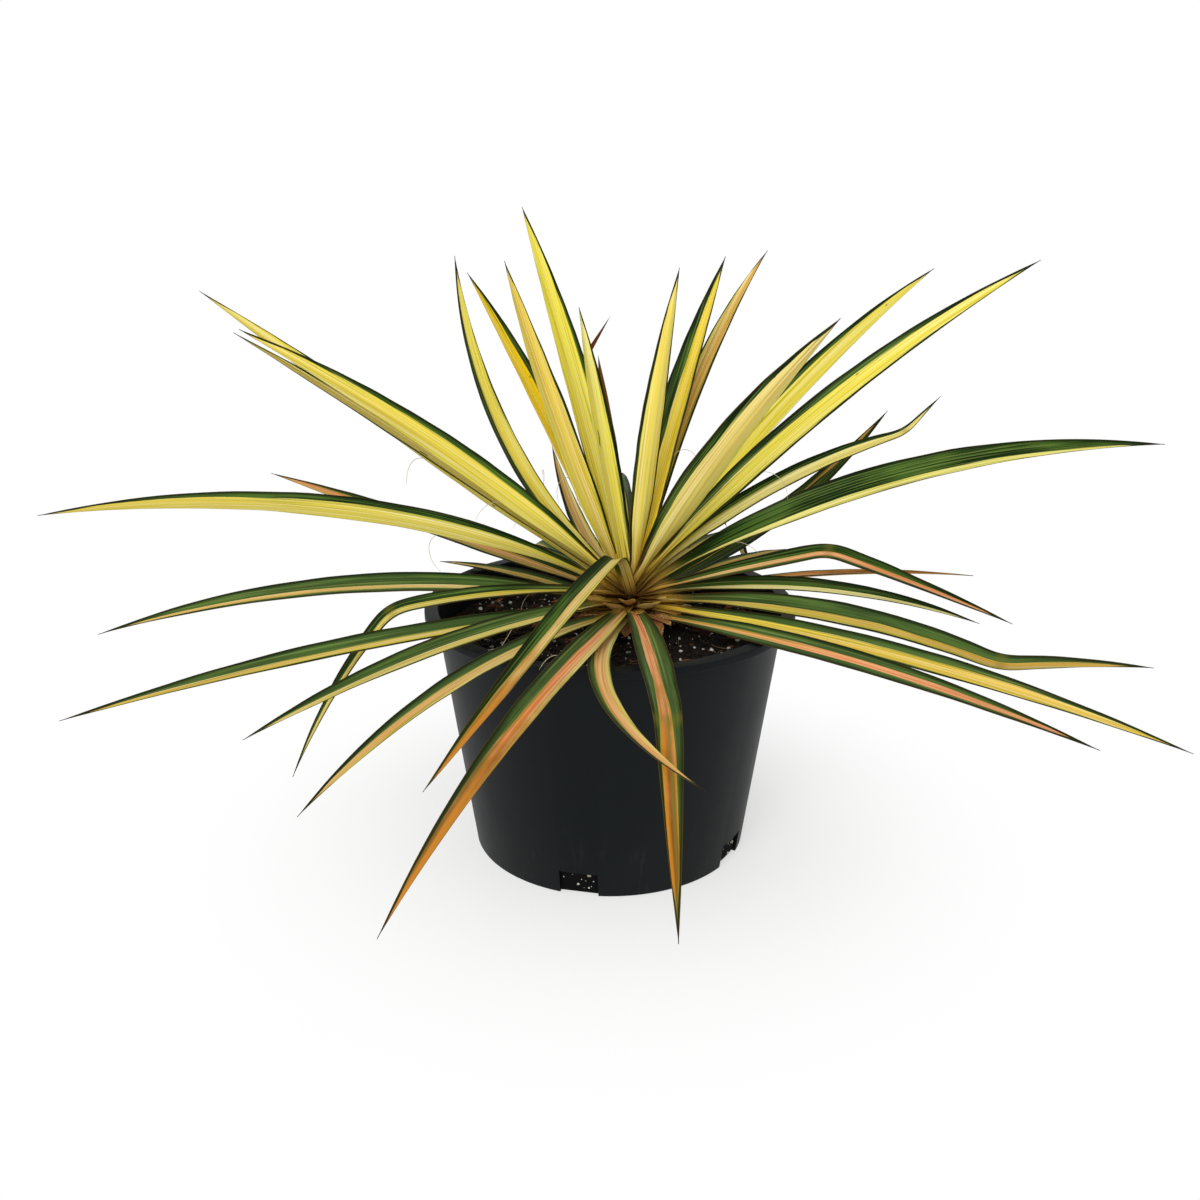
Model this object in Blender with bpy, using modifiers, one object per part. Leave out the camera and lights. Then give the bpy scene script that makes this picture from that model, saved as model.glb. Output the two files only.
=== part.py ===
"""Potted variegated yucca: a black nursery pot, its potting soil, the crown and one solid per leaf.

Metres, +Z up. The origin is the centre of the pot's flat underside, and -Y is the plant's front.
"""

from collections import namedtuple
from math import atan2, cos, pi, radians, sin

import bmesh
import bpy
from mathutils import Matrix, Vector

MM = 0.001
GAP = 0.3 * MM                      # between pieces that touch on the real plant

# The pot is turned and thin walled, and its rim is turned over into a hanging lip.
POT_HEIGHT = 130 * MM
BASE_RADIUS = 72 * MM
MOUTH_RADIUS = 89.5 * MM            # outer face of the tapered wall, at the rim's height
RIM_RADIUS = 95 * MM
LIP_HEIGHT = 4 * MM
EDGE_CHAMFER = 0.6 * MM
BASE_CHAMFER = 1 * MM
POT_WALL = 1.4 * MM
POT_STEPS = 64

# Drain slots are cut out of the corner between wall and floor.
SLOT_COUNT = 5
SLOT_WIDTH = 19.5 * MM
SLOT_TOP = 13 * MM
SLOT_DEPTH = 3.2 * MM               # how far each slot cuts into the floor's edge
FIRST_SLOT = 258                    # degrees from +X

# The soil stops short of the rim and rises a little towards the plant.
SOIL_EDGE = 114 * MM
SOIL_CENTRE = 116.5 * MM

# The crown is a short stem with a domed head, set in the soil and a little off the pot's axis.
CROWN_OFFSET = 11 * MM
CROWN_RADIUS = 14 * MM
HEAD_RISE = 13 * MM
HEAD_CENTRE = 128 * MM
STEM_RADIUS = 10 * MM
STEM_FOOT = 106 * MM
CROWN_STEPS = 32
LEAF_CLEARANCE = 0.9 * MM           # leaves start this far off the head, as their corners reach back
LOWEST_SEAT = -12                   # degrees round the head: the seat of the first leaf
HIGHEST_SEAT = 80                   # and of the last

# The blades are channelled: each half is tilted up from the midrib.
CHANNEL = 22                        # degrees
ROOT_WIDTH = 5.5 * MM
BLADE_THICKNESS = 1.5 * MM          # along the midrib, at the widest place
EDGE_SHARE = 0.3                    # of that thickness at the margins
WIDEST = 0.4                        # share of the length where a blade is widest
TIP_SHARE = 0.03                    # of the width that is left at the tip
BLADE_ROWS = 12
SPINE_STEPS = 120
FOLD_SPAN = 0.10                    # share of the length over which a folded leaf turns

# A leaf points out at its azimuth, in degrees from +X, and rises from the crown at `rise` degrees.
# It droops by `droop` degrees along its length, sooner or later as `bend` is under or over 1.
# It may sway sideways, roll about its midrib, and be folded at (share of length, lift, turn).
Leaf = namedtuple("Leaf", "azimuth rise length width droop bend sway roll fold",
                  defaults=(20, 1.0, 0, 0, None))

# From the oldest leaf, lowest on the crown, to the youngest at its top. Lengths are in millimetres.
LEAVES = [
    Leaf(317, 7.6, 233, 12, droop=14, roll=30),
    Leaf(70, 7, 200, 13, droop=10, fold=(0.44, -50, 0)),
    Leaf(258.5, 9.8, 216, 11, droop=17, bend=1.3, sway=57),
    Leaf(148, 7, 112, 13, droop=10),
    Leaf(236, 7, 220, 11, droop=30, bend=1.6, roll=-15),
    Leaf(46, 7, 118, 13, droop=12),
    Leaf(207, 4, 262, 12, droop=12, roll=-25),
    Leaf(124, 8, 200, 13, droop=12, fold=(0.42, -50, 0)),
    Leaf(329, 3.7, 257, 13, droop=15, roll=30),
    Leaf(273.7, 13, 244, 15, droop=24, fold=(0.66, -48, 0)),
    Leaf(95, 9, 225, 14, droop=14, fold=(0.45, -45, 0)),
    Leaf(257.4, 8.3, 278, 12, droop=43.6, bend=2.4, sway=-16, roll=-20),
    Leaf(189, 13.5, 252, 14, droop=29, roll=-28),
    Leaf(341, 9.5, 238, 14, droop=38, roll=35, fold=(0.72, 30, 0)),
    Leaf(220, 6, 202, 12, droop=21, roll=-20),
    Leaf(6, 10, 168, 8, droop=16),
    Leaf(59, 12, 150, 12, droop=28, fold=(0.72, -40, 0)),
    Leaf(112, 5, 123, 11, droop=-48, bend=1.2),
    Leaf(160, 14, 205, 13, droop=2, roll=-25),
    Leaf(136, 13, 130, 12, droop=28),
    Leaf(27, 13.8, 168, 13, droop=-31, roll=20),
    Leaf(352, 12.2, 164, 11, droop=30, roll=25),
    Leaf(200, 11.4, 207, 12.5, droop=36, roll=-15, fold=(0.54, -40, 0)),
    Leaf(71, 22, 200, 14, droop=56),
    Leaf(93, 31, 190, 13, droop=56),
    Leaf(343, 20, 184, 13, droop=8, roll=20, fold=(0.5, -31, 0)),
    Leaf(186, 33.4, 286, 15, droop=40.6, bend=0.7, roll=-38),
    Leaf(158.5, 30.3, 281, 15, droop=0.9, roll=-25),
    Leaf(107, 39, 182, 8, droop=0, fold=(0.76, 14, -75)),
    Leaf(6, 35.5, 280, 16, droop=38, bend=0.8, roll=45),
    Leaf(139.6, 22, 206, 15, droop=-64.5),
    Leaf(102, 52, 130, 9, droop=-4),
    Leaf(172.5, 35.2, 230, 12, droop=5, roll=-20),
    Leaf(127, 51, 206, 15, droop=12),
    Leaf(179, 42.4, 224, 17, droop=14.8, roll=-40),
    Leaf(14, 47.1, 184, 12, droop=38, bend=0.7, roll=30, fold=(0.86, 34, 0)),
    Leaf(249.8, 56, 202, 13, droop=34, sway=-20, fold=(0.12, -54, 0)),
    Leaf(38, 44, 262, 16, droop=20, roll=20),
    Leaf(164, 65.5, 169, 16, droop=-8, roll=-30),
    Leaf(8, 49.2, 254, 15, droop=21, roll=45),
    Leaf(53, 69.6, 200, 13, droop=33.2),
    Leaf(118.4, 61, 217, 17, droop=10),
    Leaf(52, 72, 174, 18, droop=15),
    Leaf(322, 59.8, 172, 19, droop=12, sway=20, roll=-40),
    Leaf(135, 74.5, 139, 15, droop=-2),
    Leaf(332, 85.8, 158, 13, droop=7, roll=-45),
]


def clear_scene():
    """Start from an empty scene."""
    for old in list(bpy.data.objects):
        bpy.data.objects.remove(old, do_unlink=True)


def make_collection(name):
    """A collection linked to the scene."""
    collection = bpy.data.collections.new(name)
    bpy.context.scene.collection.children.link(collection)
    return collection


def make_material(name, colour, roughness):
    """A plain Principled finish."""
    material = bpy.data.materials.new(name)
    material.use_nodes = True
    shader = material.node_tree.nodes["Principled BSDF"]
    shader.inputs["Base Color"].default_value = (*colour, 1)
    shader.inputs["Roughness"].default_value = roughness
    return material


def add_object(name, mesh, collection, material=None):
    """An object for a mesh, shaded smooth, with its material."""
    piece = bpy.data.objects.new(name, mesh)
    collection.objects.link(piece)
    if material:
        mesh.materials.append(material)
    mesh.shade_smooth()
    return piece


def turned_piece(name, profile, steps, collection, material=None):
    """A solid of revolution: its profile of (radius, height) ends on the axis."""
    mesh = bpy.data.meshes.new(name)
    edges = [(i, i + 1) for i in range(len(profile) - 1)]
    mesh.from_pydata([(radius, 0, height) for radius, height in profile], edges, [])
    piece = add_object(name, mesh, collection, material)
    screw = piece.modifiers.new("turned", "SCREW")
    screw.steps = steps
    screw.render_steps = steps
    screw.use_merge_vertices = True
    screw.merge_threshold = 0.00001
    return piece


def cut_away(piece, cutter):
    """Cut one solid with another, which is then left out of the build."""
    cut = piece.modifiers.new("cut_" + cutter.name, "BOOLEAN")
    cut.object = cutter
    cutter.hide_render = True
    cutter.display_type = "WIRE"


def wall_radius(height, inset=0.0):
    """Radius of the tapered wall's outer face at a height, less an inset."""
    return BASE_RADIUS + (MOUTH_RADIUS - BASE_RADIUS) * height / POT_HEIGHT - inset


def pot_profile():
    """Up the inside, over the rim, under its lip, and down the outside."""
    ledge = POT_HEIGHT - POT_WALL
    lip_inside = RIM_RADIUS - POT_WALL
    lip_foot = POT_HEIGHT - LIP_HEIGHT
    return [
        (0, POT_WALL),
        (wall_radius(POT_WALL, POT_WALL), POT_WALL),
        (wall_radius(POT_HEIGHT, POT_WALL), POT_HEIGHT),
        (RIM_RADIUS - EDGE_CHAMFER, POT_HEIGHT),
        (RIM_RADIUS, POT_HEIGHT - EDGE_CHAMFER),
        (RIM_RADIUS, lip_foot),
        (lip_inside, lip_foot),
        (lip_inside, ledge),
        (wall_radius(ledge), ledge),
        (BASE_RADIUS, BASE_CHAMFER),
        (BASE_RADIUS - BASE_CHAMFER, 0),
        (0, 0),
    ]


def slot_cutter(collection):
    """One box for each drain slot, across the corner of wall and floor."""
    inner = BASE_RADIUS - SLOT_DEPTH
    outer = MOUTH_RADIUS
    size = (outer - inner, SLOT_WIDTH, 2 * SLOT_TOP)
    bm = bmesh.new()
    for i in range(SLOT_COUNT):
        turn = Matrix.Rotation(radians(FIRST_SLOT + i * 360 / SLOT_COUNT), 4, "Z")
        place = Matrix.Translation(((inner + outer) / 2, 0, 0))
        bmesh.ops.create_cube(bm, size=1, matrix=turn @ place @ Matrix.Diagonal((*size, 1)))
    mesh = bpy.data.meshes.new("slot_cutter")
    bm.to_mesh(mesh)
    bm.free()
    return add_object("slot_cutter", mesh, collection)


def make_pot(parts, cutters):
    """The nursery pot with its ring of drain slots."""
    plastic = make_material("black_plastic", (0.012, 0.013, 0.014), 0.55)
    pot = turned_piece("pot", pot_profile(), POT_STEPS, parts, plastic)
    cut_away(pot, slot_cutter(cutters))


def crown_profile(swell=0.0):
    """Domed head and stem, grown all round by swell."""
    arc = [radians(90 - 10 * i) for i in range(12)]
    head = [((CROWN_RADIUS + swell) * cos(a), HEAD_CENTRE + (HEAD_RISE + swell) * sin(a)) for a in arc]
    head[0] = (0, HEAD_CENTRE + HEAD_RISE + swell)
    neck = HEAD_CENTRE - HEAD_RISE + 2 * MM
    return head + [(STEM_RADIUS + swell, neck), (STEM_RADIUS + swell, STEM_FOOT - swell),
                   (0, STEM_FOOT - swell)]


def make_crown(parts):
    """The short stem that the leaf bases clasp."""
    fibre = make_material("leaf_base_fibre", (0.42, 0.25, 0.12), 0.8)
    crown = turned_piece("crown", crown_profile(), CROWN_STEPS, parts, fibre)
    crown.location.x = CROWN_OFFSET


def make_soil(parts, cutters):
    """The soil fills the pot and is hollowed for the crown's stem."""
    compost = make_material("potting_soil", (0.02, 0.014, 0.01), 0.95)
    clear = POT_WALL + GAP
    edge = wall_radius(SOIL_EDGE, clear)
    profile = [
        (0, SOIL_CENTRE),
        (edge / 2, 0.6 * SOIL_CENTRE + 0.4 * SOIL_EDGE),
        (edge, SOIL_EDGE),
        (wall_radius(clear, clear), clear),
        (0, clear),
    ]
    soil = turned_piece("potting_soil", profile, POT_STEPS, parts, compost)
    socket = turned_piece("crown_socket", crown_profile(swell=GAP), CROWN_STEPS, cutters)
    socket.location.x = CROWN_OFFSET
    cut_away(soil, socket)


def smooth_step(x):
    """0 to 1 with an easy start and end."""
    x = min(max(x, 0), 1)
    return x * x * (3 - 2 * x)


def heading(leaf, s):
    """Unit direction of the midrib at share s of its length, in the leaf's own frame."""
    elevation = leaf.rise - leaf.droop * s ** leaf.bend
    turn = leaf.sway * s ** 2
    if leaf.fold:
        place, lift, sideways = leaf.fold
        share = smooth_step((s - place) / FOLD_SPAN + 0.5)
        elevation += lift * share
        turn += sideways * share
    elevation = radians(elevation)
    turn = radians(turn)
    return Vector((cos(elevation) * cos(turn), cos(elevation) * sin(turn), sin(elevation)))


def spine(leaf):
    """Point, direction and upper-face normal at even steps along the midrib."""
    rise = radians(leaf.rise)
    point = Vector((0, 0, 0))
    before = heading(leaf, 0)
    normal = Vector((-sin(rise), 0, cos(rise)))
    frames = [(point.copy(), before, normal)]
    for i in range(1, SPINE_STEPS + 1):
        along = heading(leaf, i / SPINE_STEPS)
        point = point + (before + along) * (leaf.length * MM / SPINE_STEPS / 2)
        normal = (normal - along * normal.dot(along)).normalized()
        frames.append((point.copy(), along, normal))
        before = along
    return frames


def width_share(leaf, s):
    """Blade width at share s of the length, as a share of its greatest width."""
    root = ROOT_WIDTH / (leaf.width * MM)
    if s < WIDEST:
        return root + (1 - root) * sin(s / WIDEST * pi / 2)
    return max(1 - ((s - WIDEST) / (1 - WIDEST)) ** 2, TIP_SHARE)


def blade_rows(leaf):
    """Shares of the length that carry a row of points, closer together at a fold."""
    rows = [i / BLADE_ROWS for i in range(BLADE_ROWS + 1)]
    if leaf.fold:
        place = leaf.fold[0]
        rows = [s for s in rows if abs(s - place) > 0.06]
        rows += [place - FOLD_SPAN / 2, place, place + FOLD_SPAN / 2]
    return sorted(rows)


def leaf_mesh(name, leaf):
    """A two-wide grid laid along the midrib: channelled, tapered and rolled."""
    frames = spine(leaf)
    rows = blade_rows(leaf)
    bm = bmesh.new()
    bmesh.ops.create_grid(bm, x_segments=2, y_segments=len(rows) - 1, size=0.5)
    for vert in bm.verts:
        across = round(2 * vert.co.x)
        s = rows[round((vert.co.y + 0.5) * (len(rows) - 1))]
        point, along, normal = frames[round(s * SPINE_STEPS)]
        roll = Matrix.Rotation(radians(leaf.roll) * smooth_step(s / 0.3), 3, along)
        up = roll @ normal
        side = roll @ along.cross(normal)
        half = leaf.width * MM / 2 * width_share(leaf, s)
        tilt = radians(CHANNEL)
        vert.co = point + side * (across * half * cos(tilt)) + up * (abs(across) * half * sin(tilt))
    mesh = bpy.data.meshes.new(name)
    bm.to_mesh(mesh)
    bm.free()
    return mesh, rows


def thicken(piece, leaf, rows):
    """Solidify the blade: stout along the midrib and thin at its margins and tip."""
    group = piece.vertex_groups.new(name="thickness")
    for vert in piece.data.vertices:
        row, column = divmod(vert.index, 3)
        weight = 0.25 + 0.75 * width_share(leaf, rows[row])
        group.add([vert.index], weight if column == 1 else weight * EDGE_SHARE, "REPLACE")
    shell = piece.modifiers.new("blade_thickness", "SOLIDIFY")
    shell.thickness = BLADE_THICKNESS
    shell.offset = 0
    shell.vertex_group = group.name


def leaf_seat(leaf, share):
    """Where a leaf is rooted, in the crown's frame, share of the way up the head."""
    angle = radians(LOWEST_SEAT + (HIGHEST_SEAT - LOWEST_SEAT) * share)
    skin = Vector((CROWN_RADIUS * cos(angle), 0, HEAD_RISE * sin(angle)))
    outward = atan2(CROWN_RADIUS * sin(angle), HEAD_RISE * cos(angle))
    seat = skin + Vector((cos(outward), 0, sin(outward))) * LEAF_CLEARANCE
    return Matrix.Rotation(radians(leaf.azimuth), 3, "Z") @ seat


def make_leaves(parts):
    """Every leaf, spread evenly up the crown from the oldest to the youngest."""
    green = make_material("variegated_leaf", (0.45, 0.40, 0.08), 0.5)
    centre = bpy.data.objects.new("crown_centre", None)
    centre.location = (CROWN_OFFSET, 0, HEAD_CENTRE)
    parts.objects.link(centre)
    for i, leaf in enumerate(LEAVES):
        name = f"leaf_{i + 1:02d}"
        mesh, rows = leaf_mesh(name, leaf)
        piece = add_object(name, mesh, parts, green)
        thicken(piece, leaf, rows)
        piece.parent = centre
        piece.location = leaf_seat(leaf, i / (len(LEAVES) - 1))
        piece.rotation_euler.z = radians(leaf.azimuth)


def main():
    """Build the pot, the soil, the crown and the leaves."""
    clear_scene()
    parts = make_collection("potted_yucca")
    cutters = make_collection("cutters")
    make_pot(parts, cutters)
    make_soil(parts, cutters)
    make_crown(parts)
    make_leaves(parts)


main()
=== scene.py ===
# %% [markdown]
# # A potted variegated yucca
#
# A young yucca with yellow and green striped leaves stands in a black nursery pot. Its solids are
# already made and packed, and this lesson gives them their looks: the moulded pot, the gritty potting
# mix, the crown of old leaf bases, the striped leaves and the fine curling threads on their margins.
# Lengths are in metres, +Z is up, and the origin is the centre of the pot's flat underside.

import random
from collections import namedtuple
from math import atan2, cos, hypot, pi, radians, sin, tau

import bmesh
import bpy
import numpy as np
from mathutils import Matrix, Vector, noise


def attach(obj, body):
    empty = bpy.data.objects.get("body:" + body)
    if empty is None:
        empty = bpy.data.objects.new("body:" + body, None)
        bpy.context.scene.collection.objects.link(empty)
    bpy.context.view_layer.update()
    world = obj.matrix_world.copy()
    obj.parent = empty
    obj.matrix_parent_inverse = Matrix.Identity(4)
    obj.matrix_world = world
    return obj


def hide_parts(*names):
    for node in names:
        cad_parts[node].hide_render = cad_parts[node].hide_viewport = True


MM = 0.001
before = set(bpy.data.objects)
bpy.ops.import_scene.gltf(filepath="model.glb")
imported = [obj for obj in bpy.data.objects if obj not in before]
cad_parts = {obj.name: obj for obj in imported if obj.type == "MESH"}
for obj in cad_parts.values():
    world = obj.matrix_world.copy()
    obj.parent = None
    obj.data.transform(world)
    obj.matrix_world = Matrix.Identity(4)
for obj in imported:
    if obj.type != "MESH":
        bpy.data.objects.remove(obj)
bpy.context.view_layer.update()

# %% [markdown]
# ## Colour and nodes
#
# Colours are written as sRGB hex values, the way a paint chart gives them, but Blender's shaders work in
# linear light. One function turns one into the other, so every colour below can be read and compared by
# eye. A second one adds a shader node and links it in the same line, which keeps each finish short
# enough to read as a recipe. A list of inputs is in the order that the node shows them:
#
# - Map Range: a value, the two ends it comes from, and the two ends it goes to (0 and 1 if left out).
# - Multiply Add: a value, what it is multiplied by, and what is added.
# - Mix: a share, the colour at 0, and the colour at 1.

# %% Helpers for colours and nodes
def linear(code):
    """The linear RGBA of an sRGB hex value."""
    channels = [int(code[i:i + 2], 16) / 255 for i in (1, 3, 5)]
    return [c / 12.92 if c <= 0.04045 else ((c + 0.055) / 1.055) ** 2.4 for c in channels] + [1]


SMOOTH = {"interpolation_type": "SMOOTHSTEP"}
COLOUR = {"data_type": "RGBA"}


def add(tree, kind, inputs, **settings):
    """The first output of a new node. Its inputs are a dict by name, or a list in the order shown."""
    node = tree.nodes.new("ShaderNode" + kind)
    for name, value in settings.items():
        setattr(node, name, value)
    shown = [socket for socket in node.inputs if socket.enabled]
    for key, value in inputs.items() if isinstance(inputs, dict) else enumerate(inputs):
        socket = shown[key] if isinstance(key, int) else next(s for s in shown if s.name == key)
        if isinstance(value, bpy.types.NodeSocket):
            tree.links.new(value, socket)
        else:
            socket.default_value = linear(value) if isinstance(value, str) else value
    return next(socket for socket in node.outputs if socket.enabled)


def new_material(name, specular, ior=1.5, roughness=0.5):
    """A material, its node tree and its Principled shader, with what is the same all over it."""
    material = bpy.data.materials.new(name)
    material.use_nodes = True
    shader = material.node_tree.nodes["Principled BSDF"]
    shader.inputs["Specular IOR Level"].default_value = specular
    shader.inputs["IOR"].default_value = ior
    shader.inputs["Roughness"].default_value = roughness
    return material, material.node_tree, shader


print("helpers ready; mid grey #808080 is", round(linear("#808080")[0], 3), "in linear light")

# %% [markdown]
# ## Camera, light and floor
#
# The camera stands a little over half a metre in front of the pot and looks down on it by 19 degrees,
# as a person does at a plant on a low table. The light is plain: an even white surround, and one large
# soft lamp high in front, as if a window stood behind the viewer. Together they light the near and upper
# faces so that a colour renders about as written.

# %% Camera
CAMERA_TILT = 19.14
CAMERA_TURN = 0.47
LENS = 38.16
camera = bpy.data.objects.new("camera", bpy.data.cameras.new("camera"))
bpy.context.scene.collection.objects.link(camera)
camera.location = (0, -0.620, 0.346)
camera.rotation_euler = (radians(90 - CAMERA_TILT), 0, radians(CAMERA_TURN))
camera.data.lens = LENS
camera.data.clip_start = 10 * MM
bpy.context.scene.camera = camera
bpy.context.scene.view_settings.view_transform = "Standard"
print("the camera is", round(camera.location.length, 3), "m from the pot's foot")

# %% Lamp
LAMP_WATTS = 16
LAMP_SIZE = 0.8
LAMP_PLACE = Vector((-0.4, -1.3, 0.95))
PLANT_MIDDLE = Vector((0, 0, 0.15))
lamp = bpy.data.objects.new("window", bpy.data.lights.new("window", "AREA"))
bpy.context.scene.collection.objects.link(lamp)
lamp.location = LAMP_PLACE
lamp.rotation_euler = (LAMP_PLACE - PLANT_MIDDLE).to_track_quat("Z", "Y").to_euler()
lamp.data.size = LAMP_SIZE
lamp.data.energy = LAMP_WATTS
print("one lamp of", LAMP_WATTS, "W, facing the middle of the plant")

# %% [markdown]
# ### Surround
#
# A white backdrop would flood the plant with light if it shone at full strength. So the surround has two
# strengths: 1, which is white, for the rays that show it, and about half of that for the rays that
# light the plant. The Light Path node tells the two apart.

# %% Surround
SURROUND_LIGHT = 0.55


def in_view(tree):
    """1 for a ray that shows a backdrop, seen straight, mirrored or through glass, and 0 for the rest."""
    rays = add(tree, "LightPath", []).node.outputs
    seen = add(tree, "Math", [rays["Is Camera Ray"], rays["Is Glossy Ray"]], operation="MAXIMUM")
    return add(tree, "Math", [seen, rays["Is Transmission Ray"]], operation="MAXIMUM")


world = bpy.data.worlds.new("surround")
world.use_nodes = True
bpy.context.scene.world = world
sky = world.node_tree
strength = add(sky, "MapRange", {"Value": in_view(sky), "To Min": SURROUND_LIGHT, "To Max": 1.0})
background = sky.nodes["Background"]
background.inputs["Color"].default_value = (1, 1, 1, 1)
sky.links.new(strength, background.inputs["Strength"])
print("the surround lights the plant at", SURROUND_LIGHT, "of white")

# %% [markdown]
# ### Floor
#
# The floor is matt white paper that takes the plant's shadow. Away from the plant it fades into the white
# surround, so no horizon shows. It lies a hair under the pot's foot, so that the two never share a plane.

# %% Floor
FLOOR_HALF = 6
FLOOR_DROP = 0.4 * MM
FADE_STARTS, FADE_ENDS = 50 * MM, 240 * MM
floor_paper, tree, shader = new_material("matt_white_paper", specular=0.1, roughness=0.9)
shader.inputs["Base Color"].default_value = linear("#fbfbfa")
place = add(tree, "NewGeometry", [])
away = add(tree, "VectorMath", [place], operation="LENGTH")
fade = add(tree, "MapRange", [away, FADE_STARTS, FADE_ENDS, 0.55, 1.0], **SMOOTH)
fade = add(tree, "Math", [fade, in_view(tree)], operation="MULTIPLY")
white = add(tree, "Emission", [(1, 1, 1, 1), 1.0])
both = add(tree, "MixShader", [fade, shader.outputs[0], white])
tree.links.new(both, tree.nodes["Material Output"].inputs["Surface"])

bm = bmesh.new()
bmesh.ops.create_grid(bm, x_segments=1, y_segments=1, size=FLOOR_HALF)
floor_mesh = bpy.data.meshes.new("floor")
bm.to_mesh(floor_mesh)
bm.free()
floor = bpy.data.objects.new("floor", floor_mesh)
bpy.context.scene.collection.objects.link(floor)
floor.location.z = -FLOOR_DROP
floor_mesh.materials.append(floor_paper)
print("the floor is", 2 * FLOOR_HALF, "m square")

# %% [markdown]
# ## Turned shapes
#
# The pot, the soil and the crown are all round. Each is drawn as half of its outline and spun by a Screw
# modifier, which is how a lathe or a round mould makes the same form. The modifiers are then applied,
# because the surface is cut, or roughened point by point, before it gets its finish.

# %% A turned piece
def show(name, mesh, material, nodes=()):
    """A piece of the plant that rides on the part and may stand for its solids."""
    piece = bpy.data.objects.new(name, mesh)
    bpy.context.scene.collection.objects.link(piece)
    mesh.materials.clear()
    mesh.materials.append(material)
    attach(piece, "root")
    if nodes:
        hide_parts(*nodes)
    return piece


def turned(name, profile, steps, cutter=None):
    """The mesh of a profile of (radius, height), spun about Z and cut if there is a cutter."""
    mesh = bpy.data.meshes.new(name)
    mesh.from_pydata([(r, 0, z) for r, z in profile], [(i, i + 1) for i in range(len(profile) - 1)], [])
    blank = bpy.data.objects.new(name, mesh)
    bpy.context.scene.collection.objects.link(blank)
    screw = blank.modifiers.new("spin", "SCREW")
    screw.steps = screw.render_steps = steps
    screw.use_merge_vertices = True
    screw.merge_threshold = 0.01 * MM
    if cutter:
        cut = blank.modifiers.new("cut", "BOOLEAN")
        cut.object = cutter
    bpy.context.view_layer.update()
    spun = bpy.data.meshes.new_from_object(blank.evaluated_get(bpy.context.evaluated_depsgraph_get()))
    bpy.data.objects.remove(blank)
    spun.name = name
    return spun


def rounded(corners, radius, steps=3):
    """A profile with each inner corner turned into a small arc."""
    profile = [corners[0]]
    for before, corner, after in zip(corners, corners[1:], corners[2:]):
        corner = Vector(corner)
        start = corner + (Vector(before) - corner).normalized() * radius
        end = corner + (Vector(after) - corner).normalized() * radius
        for i in range(steps + 1):
            t = i / steps
            profile.append(tuple(start * (1 - t) ** 2 + corner * 2 * t * (1 - t) + end * t ** 2))
    return profile + [corners[-1]]


print("turned shapes ready")

# %% [markdown]
# ## The pot
#
# A squat nursery pot, moulded thin from black polypropylene. Its wall tapers to the foot so that pots
# nest, the rim is turned over into a lip for stiffness, and five drain slots are cut through the corner
# of wall and floor. The measures are those of the solid. A slot reaches from the foot to SLOT_TOP and
# goes SLOT_DEPTH into the floor. FIRST_SLOT is its bearing in degrees.

# %% Pot measures
POT_HEIGHT = 130 * MM
BASE_RADIUS = 72 * MM
MOUTH_RADIUS = 89.5 * MM
RIM_RADIUS = 95 * MM
LIP_HEIGHT = 4 * MM
POT_WALL = 1.4 * MM
SLOT_COUNT = 5
SLOT_WIDTH = 19.5 * MM
SLOT_TOP = 13 * MM
SLOT_DEPTH = 3.2 * MM
FIRST_SLOT = 258


def wall_radius(height, inset=0.0):
    """Radius of the tapered wall's outer face at a height, less an inset."""
    return BASE_RADIUS + (MOUTH_RADIUS - BASE_RADIUS) * height / POT_HEIGHT - inset


print("the wall leans out by", round((MOUTH_RADIUS - BASE_RADIUS) / MM, 1), "mm on its way up")

# %% [markdown]
# ### Pot shape
#
# The pot is one profile and one Boolean with five boxes. The half millimetre of rounding on each corner
# is what catches the light along the lip. The Boolean leaves clean edges round the slots, and edges
# sharper than 40 degrees stay crisp while the rest is shaded smooth.

# %% Slot cutter
def slot_cutter():
    """One rounded box for each drain slot."""
    bm = bmesh.new()
    inner, outer = BASE_RADIUS - SLOT_DEPTH, MOUTH_RADIUS
    size = (outer - inner, SLOT_WIDTH, 2 * SLOT_TOP)
    for i in range(SLOT_COUNT):
        turn = Matrix.Rotation(radians(FIRST_SLOT + i * 360 / SLOT_COUNT), 4, "Z")
        place = Matrix.Translation(((inner + outer) / 2, 0, 0))
        bmesh.ops.create_cube(bm, size=1, matrix=turn @ place @ Matrix.Diagonal((*size, 1)))
    mesh = bpy.data.meshes.new("slots")
    bm.to_mesh(mesh)
    bm.free()
    return bpy.data.objects.new("slots", mesh)


cutter = slot_cutter()
bpy.context.scene.collection.objects.link(cutter)
print("the cutter has", SLOT_COUNT, "boxes")

# %% Pot shape
CORNER_ROUNDING = 0.5 * MM
POT_STEPS = 168
CRISP_EDGE = radians(40)
ledge = POT_HEIGHT - POT_WALL
outline = rounded([
    (0, POT_WALL),
    (wall_radius(POT_WALL, POT_WALL), POT_WALL),
    (wall_radius(POT_HEIGHT, POT_WALL), POT_HEIGHT),
    (RIM_RADIUS, POT_HEIGHT),
    (RIM_RADIUS, POT_HEIGHT - LIP_HEIGHT),
    (RIM_RADIUS - POT_WALL, POT_HEIGHT - LIP_HEIGHT),
    (RIM_RADIUS - POT_WALL, ledge),
    (wall_radius(ledge), ledge),
    (BASE_RADIUS, 0),
    (0, 0),
], CORNER_ROUNDING)
pot_mesh = turned("nursery_pot", outline, POT_STEPS, cutter)
bpy.data.objects.remove(cutter)
pot_mesh.shade_smooth()
pot_mesh.set_sharp_from_angle(angle=CRISP_EDGE)
print("the pot has", len(pot_mesh.polygons), "faces")

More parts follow.
